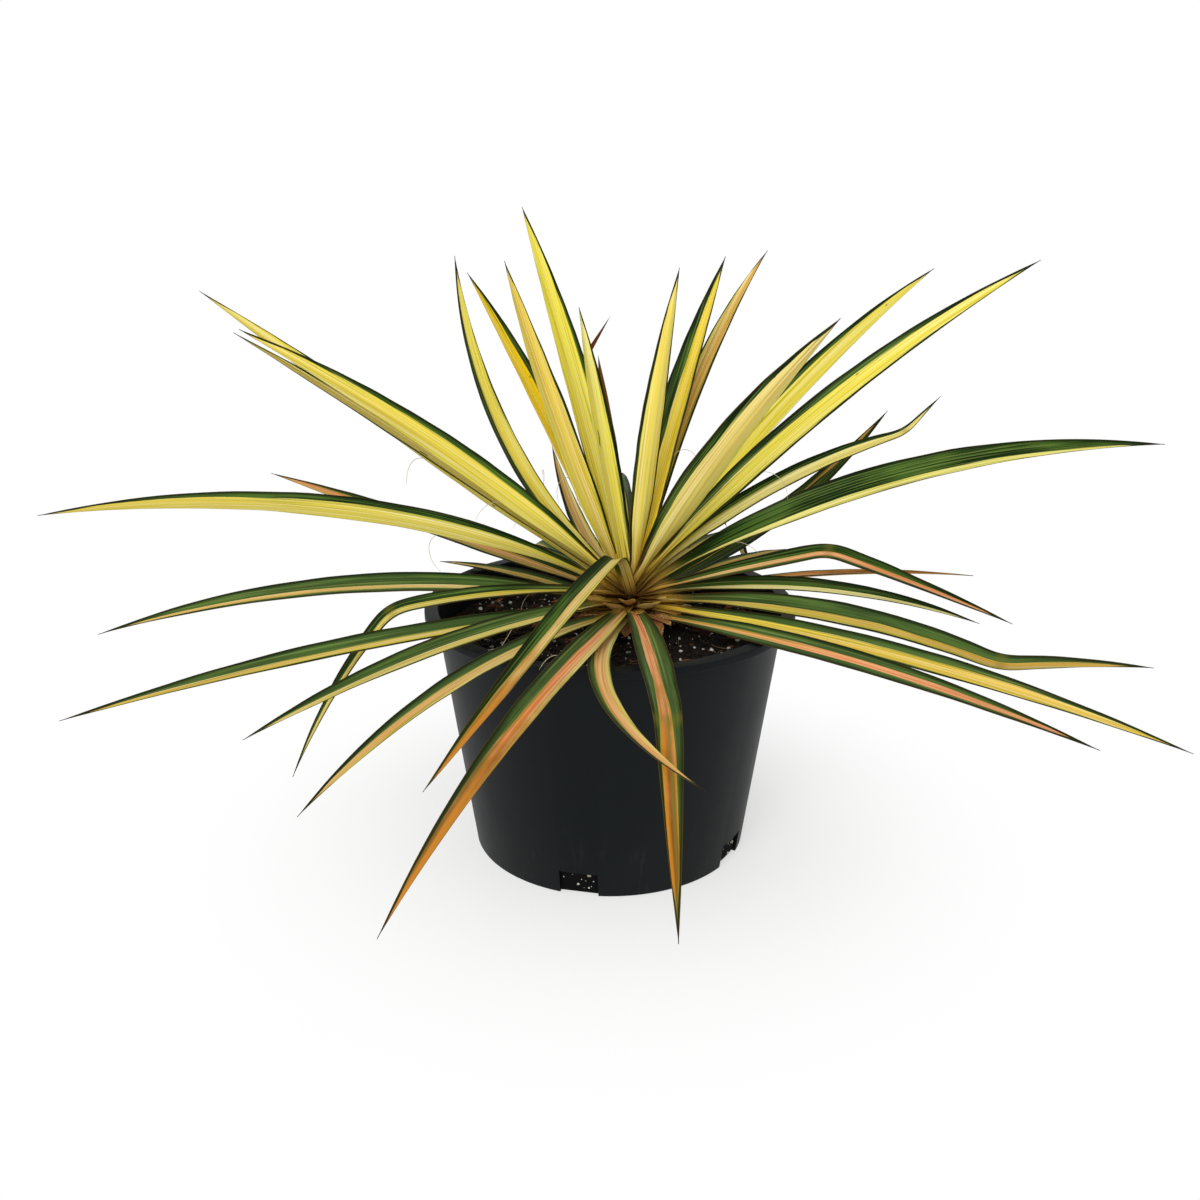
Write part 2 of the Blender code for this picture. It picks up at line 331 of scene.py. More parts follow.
# %% [markdown]
# ## Moulded polypropylene
#
# The real one is black polypropylene, injection moulded in a mould that was bead blasted and never
# polished. To the eye that is a dull charcoal skin. It is nearly black face on, goes grey where it
# curves away and mirrors the room softly, and carries faint upright rubs from being stacked and a
# bloom of dust near its foot. Polypropylene's IOR is 1.49. The orange peel of the mould is under half
# a millimetre across, and is drawn at 1.2 mm so that it shows.

# %% Pot finish
PEEL_SIZE = 1.2 * MM
PEEL_DEPTH = 0.3 * MM
CLOUD_SIZE = 28 * MM
RUB_WIDTH = 2.5 * MM
DUST_HEIGHT = 45 * MM
pot_plastic, tree, shader = new_material("moulded_black_polypropylene", specular=0.1, ior=1.49)
place = add(tree, "TexCoord", []).node.outputs["Object"]
peel = add(tree, "TexNoise", {"Vector": place, "Scale": 1 / PEEL_SIZE, "Detail": 2.0})
cloud = add(tree, "TexNoise", {"Vector": place, "Scale": 1 / CLOUD_SIZE, "Detail": 4.0})
upright = add(tree, "VectorMath", [place, (1, 1, 0.06)], operation="MULTIPLY")
rubs = add(tree, "TexNoise", {"Vector": upright, "Scale": 1 / RUB_WIDTH, "Detail": 3.0})
rubs = add(tree, "MapRange", [rubs, 0.58, 0.78])
height = add(tree, "SeparateXYZ", [place]).node.outputs["Z"]
low = add(tree, "MapRange", [height, DUST_HEIGHT, 0.0, 0.0, 0.6])
dusty = add(tree, "Math", [low, cloud], operation="MULTIPLY")
dust = add(tree, "Math", [dusty, rubs, 0.03], operation="MULTIPLY_ADD")
dust = add(tree, "Math", [dusty, 0.10, dust], operation="MULTIPLY_ADD")
skin = add(tree, "Mix", [cloud, "#04080a", "#091013"], **COLOUR)
skin = add(tree, "Mix", [dust, skin, "#3f3e3b"], **COLOUR)
gloss = add(tree, "MapRange", {"Value": cloud, "To Min": 0.42, "To Max": 0.56})
gloss = add(tree, "Math", [dust, 0.25, gloss], operation="MULTIPLY_ADD")
bump = add(tree, "Bump", {"Height": peel, "Strength": 0.12, "Distance": PEEL_DEPTH})
tree.links.new(skin, shader.inputs["Base Color"])
tree.links.new(gloss, shader.inputs["Roughness"])
tree.links.new(bump, shader.inputs["Normal"])
pot = show("nursery_pot", pot_mesh, pot_plastic, ["pot"])
print("finished", pot.name)

# %% [markdown]
# ## The potting mix
#
# The pot is filled to some 15 mm below its rim with a peat and bark mix. Its top is a low mound, pressed
# by watering. The surface is one turned piece whose points are pushed up and down by noise, with real
# crumbs lying on it, because loose mix is read by its broken outline and small shadows more than by its
# colour.

# %% Height of the mix
SOIL_EDGE = 114 * MM
SOIL_CENTRE = 116.5 * MM
SWELL_SIZE, SWELL_HEIGHT = 11 * MM, 1.3
LUMP_SIZE, LUMP_HEIGHT = 4 * MM, 0.7


def soil_height(x, y):
    """Height of the mix at a place: a low mound with swells and lumps on it."""
    share = min(hypot(x, y) / wall_radius(SOIL_EDGE, POT_WALL), 1)
    mound = SOIL_CENTRE + (SOIL_EDGE - SOIL_CENTRE) * share ** 2
    swells = noise.noise(Vector((x, y, 0)) / SWELL_SIZE) * SWELL_HEIGHT
    lumps = noise.noise(Vector((x, y, 1)) / LUMP_SIZE) * LUMP_HEIGHT
    return mound + (swells + lumps) * MM


print("the mix is", round(soil_height(0, 0) / MM, 1), "mm above the foot at its middle")

# %% [markdown]
# The side of the mix shows through the drain slots, so it is pitted too, and it carries a darker tone
# than the top.

# %% Soil surface
GAP = 0.3 * MM
TOP_RINGS, SIDE_RINGS, SOIL_STEPS = 70, 40, 150
PIT_SIZE, PIT_DEPTH = 3 * MM, 0.006
SIDE_TONE = -0.5
side = POT_WALL + GAP
edge = wall_radius(SOIL_EDGE, side)
floor_edge = wall_radius(side, side)
profile = [(edge * i / TOP_RINGS, SOIL_EDGE) for i in range(TOP_RINGS + 1)]
profile += [(floor_edge + (edge - floor_edge) * i / SIDE_RINGS, side + (SOIL_EDGE - side) * i / SIDE_RINGS)
            for i in reversed(range(SIDE_RINGS))] + [(0, side)]
soil_mesh = turned("potting_mix", profile, SOIL_STEPS)
for vert in soil_mesh.vertices:
    x, y, z = vert.co
    if z > SOIL_EDGE - MM:
        vert.co.z = soil_height(x, y)
    elif z > side + MM:
        dent = 1 - PIT_DEPTH * (1 + noise.noise(vert.co / PIT_SIZE))
        vert.co = (x * dent, y * dent, z)
tones = [SIDE_TONE if vert.co.z < SOIL_EDGE - 3 * MM else 0 for vert in soil_mesh.vertices]
soil_mesh.attributes.new("tone", "FLOAT", "POINT").data.foreach_set("value", tones)
soil_mesh.shade_smooth()
print("the potting mix has", len(soil_mesh.polygons), "faces")

# %% [markdown]
# ### Peat and bark mix
#
# Peat is near black where it is damp and mid brown where it has dried, so the two are mixed at the size
# of a thumbnail, with a fine grain over both. It has next to no shine. The crumbs share this finish, and
# each one carries its own tone, so neighbours can be told apart.

# %% Finish of the mix
PATCH_SIZE = 17 * MM


def earth(name, dark, light, grain, spread=1.0):
    """Rough material between two tones, mottled at a grain size in metres. Crumbs add their own tone."""
    material, tree, shader = new_material(name, specular=0.15, ior=1.4, roughness=0.95)
    place = add(tree, "TexCoord", []).node.outputs["Object"]
    broad = add(tree, "TexNoise", {"Vector": place, "Scale": 1 / PATCH_SIZE, "Detail": 3.0})
    fine = add(tree, "TexNoise", {"Vector": place, "Scale": 1 / grain, "Detail": 4.0, "Roughness": 0.7})
    own = add(tree, "Attribute", [], attribute_name="tone").node.outputs["Fac"]
    tone = add(tree, "Math", [broad, 0.6, own], operation="MULTIPLY_ADD")
    tone = add(tree, "Math", [fine, spread, tone], operation="MULTIPLY_ADD")
    tone = add(tree, "MapRange", [tone, 0.45, 1.35])
    colour = add(tree, "Mix", [tone, dark, light], **COLOUR)
    bump = add(tree, "Bump", {"Height": fine, "Strength": 0.6, "Distance": grain * 0.3})
    tree.links.new(colour, shader.inputs["Base Color"])
    tree.links.new(bump, shader.inputs["Normal"])
    return material


mix = earth("peat_and_bark_mix", "#090808", "#2e2620", grain=1.6 * MM)
show("potting_mix", soil_mesh, mix, ["potting_soil"])
print("finished the potting mix")

# %% [markdown]
# ### What lies on the mix
#
# Three kinds of loose piece can be told apart on the real thing: peat crumbs, puffed white perlite and
# reddish chips of composted bark, with a few straw-coloured root fibres. Each kind is one mesh, made by
# copying a small rough lump many times. A lump starts as an icosphere, because every side of it then
# carries about the same amount of detail.

# %% Lumps
def fresh_mesh(name, verts, faces, **attributes):
    """A mesh from points and faces, with float or vector attributes on its points."""
    mesh = bpy.data.meshes.new(name)
    mesh.from_pydata(verts, [], faces)
    for key, values in attributes.items():
        values = np.asarray(values, dtype=np.float32)
        kind, field = ("FLOAT", "value") if values.ndim == 1 else ("FLOAT_VECTOR", "vector")
        mesh.attributes.new(key, kind, "POINT").data.foreach_set(field, values.ravel())
    mesh.shade_smooth()
    return mesh


def ball(detail):
    """Points and faces of a small icosphere."""
    bm = bmesh.new()
    bmesh.ops.create_icosphere(bm, subdivisions=detail, radius=1)
    points = [vert.co.copy() for vert in bm.verts]
    faces = [[vert.index for vert in face.verts] for face in bm.faces]
    bm.free()
    return points, faces


print("a small lump has", len(ball(1)[1]), "faces and a rounder one", len(ball(2)[1]))

# %% [markdown]
# Places are drawn at random from one seeded source, so every run gives the same plant. The square root
# of a random number spreads them evenly over a disc. Without it they would crowd at its middle. Nothing
# lies under the stem, and some perlite is pressed to the side of the mix, where the slots show it.

# %% Places on the mix
draw = random.Random(11)
CROWN = Vector((11 * MM, 0, 128 * MM))
STEM_CLEARANCE = 12 * MM
MIX_REACH = 84 * MM
SLOT_SPREAD = 6.5
SLOT_SHOWS = (2.5 * MM, 11.5 * MM)


def soil_spot(reach):
    """A place on the mix, clear of the plant's stem."""
    while True:
        r, a = reach * draw.random() ** 0.5, draw.uniform(0, tau)
        x, y = r * cos(a), r * sin(a)
        if hypot(x - CROWN.x, y) > STEM_CLEARANCE:
            return Vector((x, y, soil_height(x, y)))


def slot_spot():
    """A place on the side of the mix, within one of the drain slots."""
    a = radians(FIRST_SLOT + draw.randrange(SLOT_COUNT) * 360 / SLOT_COUNT
                + draw.uniform(-SLOT_SPREAD, SLOT_SPREAD))
    z = draw.uniform(*SLOT_SHOWS)
    r = wall_radius(z, side)
    return Vector((r * cos(a), r * sin(a), z))


print("loose pieces lie up to", round(MIX_REACH / MM), "mm from the middle")

# %% Scatter
MOSTLY_SMALL = 2.2


def scatter(name, count, detail, sizes, flat, rough, reach=MIX_REACH, in_slots=0):
    """Many lumps in one mesh. Sizes are the least and greatest length, flat is height over length, and
    rough is how far noise pushes a lump's points in and out."""
    points, faces = ball(detail)
    verts, quads, tones = [], [], []
    for i in range(count + in_slots):
        size = sizes[0] + (sizes[1] - sizes[0]) * draw.random() ** MOSTLY_SMALL
        shape = Matrix.Diagonal((1, draw.uniform(0.55, 0.95), flat * draw.uniform(0.7, 1.2)))
        turn = Matrix.Rotation(draw.uniform(0, tau), 3, "Z") @ Matrix.Rotation(draw.gauss(0, 0.35), 3, "X")
        place = soil_spot(reach) + Vector((0, 0, size * flat * 0.2)) if i < count else slot_spot()
        start = len(verts)
        for point in points:
            bulge = 1 + rough * noise.noise(point * 1.4 + Vector((i * 3.1, 0, 0)))
            verts.append(place + turn @ shape @ point * (size / 2 * bulge))
        quads += [[start + k for k in face] for face in faces]
        tones += [draw.uniform(-0.35, 0.45)] * len(points)
    return fresh_mesh(name, verts, quads, tone=tones)


crumbs = scatter("peat_crumbs", count=1900, detail=1, sizes=(1.0 * MM, 4.5 * MM), flat=0.7, rough=0.8)
crumbs.shade_flat()
perlite = scatter("perlite", count=480, detail=2, sizes=(0.6 * MM, 2.4 * MM), flat=0.85, rough=0.5,
                  in_slots=70)
chips = scatter("bark_chips", count=130, detail=1, sizes=(3 * MM, 11 * MM), flat=0.28, rough=0.7,
                reach=80 * MM)
chips.shade_flat()
show("peat_crumbs", crumbs, mix)
print("faces:", len(crumbs.polygons), "of crumbs,", len(perlite.polygons), "of perlite and",
      len(chips.polygons), "of bark")

# %% [markdown]
# ### Perlite and composted bark
#
# Perlite is volcanic glass puffed by heat. It is chalk white and quite matt, with grey pits where dust
# has settled, and it is what makes a potting mix sparkle. Composted bark keeps its red-brown and shows
# its layers as streaks along each chip.

# %% Finish of perlite and bark
chalk = earth("puffed_perlite", "#8a867c", "#ebe8df", grain=0.9 * MM, spread=0.7)
show("perlite", perlite, chalk)
bark = earth("composted_bark", "#2a1710", "#8a563c", grain=0.8 * MM)
show("bark_chips", chips, bark)
print("finished perlite and bark")

# %% [markdown]
# ## Leaves
#
# A yucca leaf is a long stiff blade, channelled like a gutter, narrow where it clasps the stem, widest
# before its middle, and drawn out to a sharp brown point. Every leaf is one loft along its midrib. The
# midrib starts at the leaf's rise, droops with its length, may sway sideways, and may be folded where
# the blade has buckled under its own weight. The blade then rolls about its midrib to face the light.
#
# Each row of the table is one leaf, oldest first, as they sit up the stem. Its angles are in degrees, and
# its length and width in millimetres. The numbers between its width and its droop are for its looks: how
# much of its width is green from its left and from its right margin, how much coral flush and gold it
# has, and how far it has dried. At 2 it is dead. A fold is its place along the leaf, as a share, and how
# far the leaf turns up and sideways there.

# %% Leaf table
Leaf = namedtuple("Leaf", "azimuth rise length width left right flush gold dry droop bend sway roll fold",
                  defaults=(0, 0, 1, 0, 0, None))
LEAVES = [
    Leaf(317, 7.6, 233, 12, 0.36, 0.36, 1.1, 0.4, dry=0.2, droop=14, roll=30),
    Leaf(70, 7, 200, 13, 0.25, 0.3, 0.3, 0.4, dry=0.1, droop=10, fold=(0.44, -50, 0)),
    Leaf(258.5, 9.8, 216, 11, 0.03, 0.3, 0.65, 0.25, dry=0.1, droop=17, bend=1.3, sway=57),
    Leaf(148, 7, 112, 13, 0.25, 0.3, 0.3, 0.4, dry=0.1, droop=10),
    Leaf(236, 7, 220, 11, 0.05, 0.38, 0.5, 0.3, dry=0.12, droop=30, bend=1.6, roll=-15),
    Leaf(46, 7, 118, 13, 0.25, 0.3, 0.3, 0.4, dry=0.1, droop=12),
    Leaf(207, 4, 262, 12, 0.1, 0.5, 0.3, 0.6, dry=0.1, droop=12, roll=-25),
    Leaf(124, 8, 200, 13, 0.25, 0.3, 0.3, 0.4, dry=0.1, droop=12, fold=(0.42, -50, 0)),
    Leaf(329, 3.7, 257, 13, 0.3, 0.1, 0.25, 0.75, dry=0.04, droop=15, roll=30),
    Leaf(273.7, 13, 244, 15, 0.42, 0.3, 2, 0.6, dry=0.7, droop=24, fold=(0.66, -48, 0)),
    Leaf(95, 9, 225, 14, 0.25, 0.3, 0.3, 0.4, dry=0.1, droop=14, fold=(0.45, -45, 0)),
    Leaf(257.4, 8.3, 278, 12, 0.02, 0.42, 1.5, 0.2, dry=0.6, droop=43.6, bend=2.4, sway=-16, roll=-20),
    Leaf(189, 13.5, 252, 14, 0.22, 0.5, 0.45, 0.3, dry=0.1, droop=29, roll=-28),
    Leaf(341, 9.5, 238, 14, 0.5, 0.1, 0.35, 0.6, dry=0.25, droop=38, roll=35, fold=(0.72, 30, 0)),
    Leaf(220, 6, 202, 12, 0.08, 0.52, 0.2, 0.2, dry=0.1, droop=21, roll=-20),
    Leaf(6, 10, 168, 8, 0.12, 0.12, 0.75, 0.4, dry=0.8, droop=16),
    Leaf(59, 12, 150, 12, 0.25, 0.3, 0.3, 0.4, dry=0.1, droop=28, fold=(0.72, -40, 0)),
    Leaf(112, 5, 123, 11, 0.28, 0.08, 0.55, 0.2, dry=0.05, droop=-48, bend=1.2),
    Leaf(160, 14, 205, 13, 0.1, 0.34, 0.9, 0.3, dry=0.3, droop=2, roll=-25),
    Leaf(136, 13, 130, 12, 0.25, 0.3, 0.3, 0.4, dry=0.1, droop=28),
    Leaf(27, 13.8, 168, 13, 0.3, 0.7, 0.8, 0.5, dry=0.4, droop=-31, roll=20),
    Leaf(352, 12.2, 164, 11, 0.5, 0.08, 0.1, 0.15, droop=30, roll=25),
    Leaf(200, 11.4, 207, 12.5, 0.16, 0.4, 0.1, 0.6, dry=0.1, droop=36, roll=-15, fold=(0.54, -40, 0)),
    Leaf(71, 22, 200, 14, 0.25, 0.3, 0.3, 0.4, dry=0.1, droop=56),
    Leaf(93, 31, 190, 13, 0.25, 0.3, 0.3, 0.4, dry=0.1, droop=56),
    Leaf(343, 20, 184, 13, 0.38, 0.32, 1.1, 0.3, dry=0.1, droop=8, roll=20, fold=(0.5, -31, 0)),
    Leaf(186, 33.4, 286, 15, 0, 0.26, 0.05, 0.45, dry=0.1, droop=40.6, bend=0.7, roll=-38),
    Leaf(158.5, 30.3, 281, 15, 0, 0.1, 0.05, 0.65, dry=0.05, droop=0.9, roll=-25),
    Leaf(107, 39, 182, 8, 0.45, 0.45, 0.4, 0.4, dry=2, droop=0, fold=(0.76, 14, -75)),
    Leaf(6, 35.5, 280, 16, 0.72, 0.03, 0.05, 0.3, droop=38, bend=0.8, roll=45),
    Leaf(139.6, 22, 206, 15, 0.34, 0.05, 0.1, 0.6, droop=-64.5),
    Leaf(102, 52, 130, 9, 0.15, 0.15, 0.8, 0.6, dry=1.95, droop=-4),
    Leaf(172.5, 35.2, 230, 12, 0.1, 0.2, 0.1, 0.4, dry=0.1, droop=5, roll=-20),
    Leaf(127, 51, 206, 15, 0, 0.3, 0, 1.15, droop=12),
    Leaf(179, 42.4, 224, 17, 0, 0.2, 0.1, 0.6, dry=0.04, droop=14.8, roll=-40),
    Leaf(14, 47.1, 184, 12, 0.3, 0.1, 0.1, 0.25, dry=0.03, droop=38, bend=0.7, roll=30, fold=(0.86, 34, 0)),
    Leaf(249.8, 56, 202, 13, 0.03, 0.45, 0.4, 0.2, dry=0.6, droop=34, sway=-20, fold=(0.12, -54, 0)),
    Leaf(38, 44, 262, 16, 0.22, 0, 0.05, 0.6, droop=20, roll=20),
    Leaf(164, 65.5, 169, 16, 0, 0.08, 0.25, 0.65, dry=0.04, droop=-8, roll=-30),
    Leaf(8, 49.2, 254, 15, 0.25, 0.1, 0.05, 0.55, droop=21, roll=45),
    Leaf(53, 69.6, 200, 13, 0.06, 0.12, 0.6, 0.6, droop=33.2),
    Leaf(118.4, 61, 217, 17, 0, 0.16, 0, 0.65, droop=10),
    Leaf(52, 72, 174, 18, 0.36, 0.08, 0, 1, droop=15),
    Leaf(322, 59.8, 172, 19, 0, 0.2, 0.25, 0.5, dry=0.04, droop=12, sway=20, roll=-40),
    Leaf(135, 74.5, 139, 15, 0, 0.14, 0, 0.45, droop=-2),
    Leaf(332, 85.8, 158, 13, 0.1, 0.12, 0.05, 0.85, droop=7, roll=-45),
]
print(len(LEAVES), "leaves, the longest", max(leaf.length for leaf in LEAVES), "mm")

# %% [markdown]
# ### Midrib
#
# The midrib is walked in even steps, as a turtle would, each along the direction that the leaf has there.
# Droop grows with the length to the power of the leaf's bend, and sway with its square. A fold turns the
# direction within a tenth of the length. The upper face's normal is carried along from step to step and
# only tilted back square, so the blade never twists by itself.

# %% Midrib
STEPS = 120
FOLD_SPAN = 0.10


def ease(x):
    """0 to 1 with an easy start and end."""
    x = np.clip(x, 0, 1)
    return x * x * (3 - 2 * x)


def spine(leaf):
    """Point, direction and upper-face normal at even steps along the midrib, in the leaf's own frame."""
    s = np.linspace(0, 1, STEPS + 1)
    elevation = leaf.rise - leaf.droop * s ** leaf.bend
    turn = leaf.sway * s ** 2
    if leaf.fold:
        place, lift, sideways = leaf.fold
        share = ease((s - place) / FOLD_SPAN + 0.5)
        elevation = elevation + lift * share
        turn = turn + sideways * share
    e, t = np.radians(elevation), np.radians(turn)
    along = np.stack([np.cos(e) * np.cos(t), np.cos(e) * np.sin(t), np.sin(e)], 1)
    steps = (along[1:] + along[:-1]) * (leaf.length * MM / STEPS / 2)
    points = np.vstack([np.zeros(3), np.cumsum(steps, 0)])
    normal = np.array([-sin(radians(leaf.rise)), 0, cos(radians(leaf.rise))])
    normals = [normal]
    for direction in along[1:]:
        normal = normal - direction * (normal @ direction)
        normal = normal / np.linalg.norm(normal)
        normals.append(normal)
    return points, along, np.array(normals)


print("a midrib has", STEPS, "steps")

# %% [markdown]
# ### Width and seat
#
# From its root the blade swells like a quarter sine to its widest place, then narrows like a parabola,
# which gives the long even taper of a yucca leaf. The roots sit on a small dome, the crown's head. The
# oldest is a little below its rim and the youngest near its top.

# %% Width and seat
ROOT_WIDTH = 8.5 * MM
WIDEST = 0.4
POINT_SHARE = 0.02
CROWN_RADIUS = 14 * MM
HEAD_RISE = 13 * MM
LEAF_CLEARANCE = 0.9 * MM
LOWEST_SEAT, HIGHEST_SEAT = -12, 80


def width_share(leaf, s):
    """Blade width at shares s of the length, as a share of its greatest width."""
    root = ROOT_WIDTH / (leaf.width * MM)
    below = root + (1 - root) * np.sin(np.minimum(s / WIDEST, 1) * pi / 2)
    beyond = 1 - (np.maximum(s - WIDEST, 0) / (1 - WIDEST)) ** 2
    return np.maximum(np.where(s < WIDEST, below, beyond), POINT_SHARE)


def leaf_seat(share):
    """Where a leaf is rooted, share of the way up the crown's head."""
    angle = radians(LOWEST_SEAT + (HIGHEST_SEAT - LOWEST_SEAT) * share)
    outward = atan2(CROWN_RADIUS * sin(angle), HEAD_RISE * cos(angle))
    skin = np.array([CROWN_RADIUS * cos(angle), 0, HEAD_RISE * sin(angle)])
    return skin + np.array([cos(outward), 0, sin(outward)]) * LEAF_CLEARANCE


print("leaves are widest at", WIDEST, "of their length")

# %% [markdown]
# ### Blade
#
# Each row of the loft is a shallow gutter of nine points above and nine below. The blade thins to a
# quarter at its margins and point. It reaches a little back into the crown, so that no root shows its
# end, and it has reached its full roll by a third of its length. A slow wave in its width and in the
# height of its margins keeps it from looking stamped. Rows lie closer at the point and at a fold.

# %% Blade
ACROSS = np.array([-1, -0.94, -0.72, -0.38, 0, 0.38, 0.72, 0.94, 1])
CHANNEL = radians(22)
CHANNEL_POWER = 1.25
BLADE_THICKNESS = 1.4 * MM
THINNEST = 0.25
TUCK = 9 * MM
ROLLED_BY = 0.3
WIDTH_WAVE, WIDTH_SWELLS = 0.05, 14
MARGIN_WAVE, MARGIN_SWELLS = 0.5 * MM, 9
ROW_EVERY = 3
POINT_ROWS = 6
FOLD_ROWS = 0.07


def wave(s, number, swells, lanes):
    """Smooth noise between -1 and 1 with so many swells along the length, one column for each lane."""
    return np.array([[noise.noise(Vector((x * swells, number * 5.3, lane))) for lane in lanes] for x in s])


def leaf_blade(leaf, number, share):
    """Points of the loft (rows, 18 round each row, 3), and each row's place and half width."""
    points, along, normal = spine(leaf)
    rows = [i for i in range(STEPS + 1) if i % ROW_EVERY == 0 or i > STEPS - POINT_ROWS
            or (leaf.fold and abs(i / STEPS - leaf.fold[0]) < FOLD_ROWS)]
    tuck = np.array([[-TUCK], [-TUCK / 2]])
    s = np.concatenate([tuck[:, 0] / (leaf.length * MM), np.array(rows) / STEPS])
    points = np.vstack([points[0] + along[0] * tuck, points[rows]])
    along, normal = (np.vstack([v[:1], v[:1], v[rows]]) for v in (along, normal))
    roll = np.radians(leaf.roll) * ease(s / ROLLED_BY)
    side = np.cross(along, normal)
    c, d = np.cos(roll)[:, None], np.sin(roll)[:, None]
    side, up = side * c + np.cross(along, side) * d, normal * c + np.cross(along, normal) * d
    full = width_share(leaf, s)
    half = leaf.width * MM / 2 * full * (1 + WIDTH_WAVE * wave(s, number, WIDTH_SWELLS, [0])[:, 0])
    lift = np.abs(ACROSS) ** CHANNEL_POWER * sin(CHANNEL) * half[:, None]
    flutter = wave(s, number, MARGIN_SWELLS, np.sign(ACROSS) * 7)
    lift = lift + MARGIN_WAVE * flutter * ACROSS ** 2 * full[:, None]
    middle = (points[:, None] + side[:, None] * (ACROSS * half[:, None] * cos(CHANNEL))[..., None]
              + up[:, None] * lift[..., None])
    stout = (BLADE_THICKNESS * (THINNEST + (1 - THINNEST) * full)[:, None]
             * (THINNEST + (1 - THINNEST) * (1 - ACROSS ** 2)))
    upper = middle + up[:, None] * (stout / 2)[..., None]
    under = middle - up[:, None] * (stout / 2)[..., None]
    ring = np.concatenate([upper, under[:, ::-1]], 1)
    ring = ring + leaf_seat(share)
    a = radians(leaf.azimuth)
    turn = np.array([[cos(a), -sin(a), 0], [sin(a), cos(a), 0], [0, 0, 1]])
    return ring @ turn.T + np.array(CROWN), s, half


print("a row has", 2 * len(ACROSS), "points")

# %% [markdown]
# ### Leaf mesh
#
# The finish has to know where it is on a blade, so the mesh keeps that on its points: the place across,
# along and above or below as shares, the same in millimetres, and the numbers from the table. One
# material can then dress every leaf, and nothing in it depends on where a leaf stands. A UV map lays
# the two faces out as straight strips, for anyone who wants to paint or bake them.

# %% Leaf mesh
def leaf_mesh(name, leaf, number, share):
    """The blade as a closed mesh, with all that its finish needs to know stored on its points."""
    ring, s, half = leaf_blade(leaf, number, share)
    rows, round_it = ring.shape[:2]
    lane = np.concatenate([ACROSS, ACROSS[::-1]])
    face = np.concatenate([np.ones(len(ACROSS)), np.zeros(len(ACROSS))])
    grid = np.ones((rows, round_it))
    faces = [[i * round_it + j, i * round_it + (j + 1) % round_it,
              (i + 1) * round_it + (j + 1) % round_it, (i + 1) * round_it + j]
             for i in range(rows - 1) for j in range(round_it)]
    faces += [list(range(round_it))[::-1], [(rows - 1) * round_it + j for j in range(round_it)]]
    from_margin = (1 - np.abs(lane)) * half[:, None] / MM
    fold = leaf.fold[0] if leaf.fold else -1
    mesh = fresh_mesh(
        name, ring.reshape(-1, 3).tolist(), faces,
        share=np.stack([lane * grid, s[:, None] * grid, face * grid], -1).reshape(-1, 3),
        blade=np.stack([lane * half[:, None] / MM, s[:, None] * leaf.length * grid, from_margin],
                       -1).reshape(-1, 3),
        bands=np.tile([leaf.left, leaf.right, leaf.flush], (rows * round_it, 1)),
        mood=np.tile([leaf.gold, leaf.dry, number], (rows * round_it, 1)),
        bend=np.full(rows * round_it, fold))
    lay_strips(mesh, s, rows, round_it)
    return mesh


def lay_strips(mesh, s, rows, round_it):
    """A UV map of two long strips, the upper face beside the under face."""
    u = np.concatenate([0.02 + 0.23 * (ACROSS + 1), 0.52 + 0.22 * (ACROSS + 1), [1.0]])
    s = (s - s[0]) / (1 - s[0])
    uv = mesh.uv_layers.new(name="OFBake").data
    values = []
    for i in range(rows - 1):
        for j in range(round_it):
            values += [u[j], s[i], u[j + 1], s[i], u[j + 1], s[i + 1], u[j], s[i + 1]]
    values += [0.005, 0.005] * round_it + [0.995, 0.995] * round_it
    uv.foreach_set("uv", values)


leaf_meshes = [leaf_mesh(f"yucca_leaf_{i + 1:02d}", leaf, i, i / (len(LEAVES) - 1))
               for i, leaf in enumerate(LEAVES)]
print("a leaf has about", len(leaf_meshes[0].polygons), "faces")

# %% [markdown]
# ### Waxy variegated leaf
#
# The stripes are cells that cannot make green, and they run the whole length of the blade because a
# leaf grows from its base. So each boundary sits at a steady share of the blade's width, wanders only
# a little, and is crisp. The leaf margin is deep green and the heart is cream to butter yellow, with
# thin paler green lines where the two tissues lie over each other. Cold and strong light bring a coral
# flush to the heart. Old leaves turn orange-brown from their far end, and every point is dark and hard.
#
# A thin wax covers it all, which gives a soft sheen rather than a gloss. Veins run lengthwise about half
# a millimetre apart. They are drawn at one millimetre, in the colour and as a faint ribbing.

# %% Leaf finish: where things are on the blade
leaf_wax, tree, shader = new_material("waxy_variegated_leaf", specular=0.05, ior=1.45)


def stored(name):
    """The three numbers of a vector stored on the mesh."""
    vector = add(tree, "Attribute", [], attribute_name=name).node.outputs["Vector"]
    return add(tree, "SeparateXYZ", [vector]).node.outputs


across, along, upper = stored("share")
mm_across, mm_along, mm_margin = stored("blade")
left, right, flush = stored("bands")
gold, dry, number = stored("mood")
crease_at = add(tree, "Attribute", [], attribute_name="bend").node.outputs["Fac"]
print("each point knows its place across and along the blade")

# %% [markdown]
# Everything that varies on a leaf is drawn out along it, as its cells are: fine veins, lanes a few
# millimetres wide, and short blotches. All are one noise, stretched by different amounts and shifted by
# the leaf's number, so that no two leaves match.

# %% Leaf finish: veins, lanes and blotches
def streaks(across, along, detail=2.0, offset=0.0):
    """Noise drawn out along the blade: so many mm across and along."""
    own = add(tree, "Math", [number, 7.31, offset], operation="MULTIPLY_ADD")
    place = add(tree, "CombineXYZ", [mm_across, mm_along, own])
    drawn = add(tree, "VectorMath", [place, (1 / across, 1 / along, 1)], operation="MULTIPLY")
    return add(tree, "TexNoise", {"Vector": drawn, "Scale": 1.0, "Detail": detail})


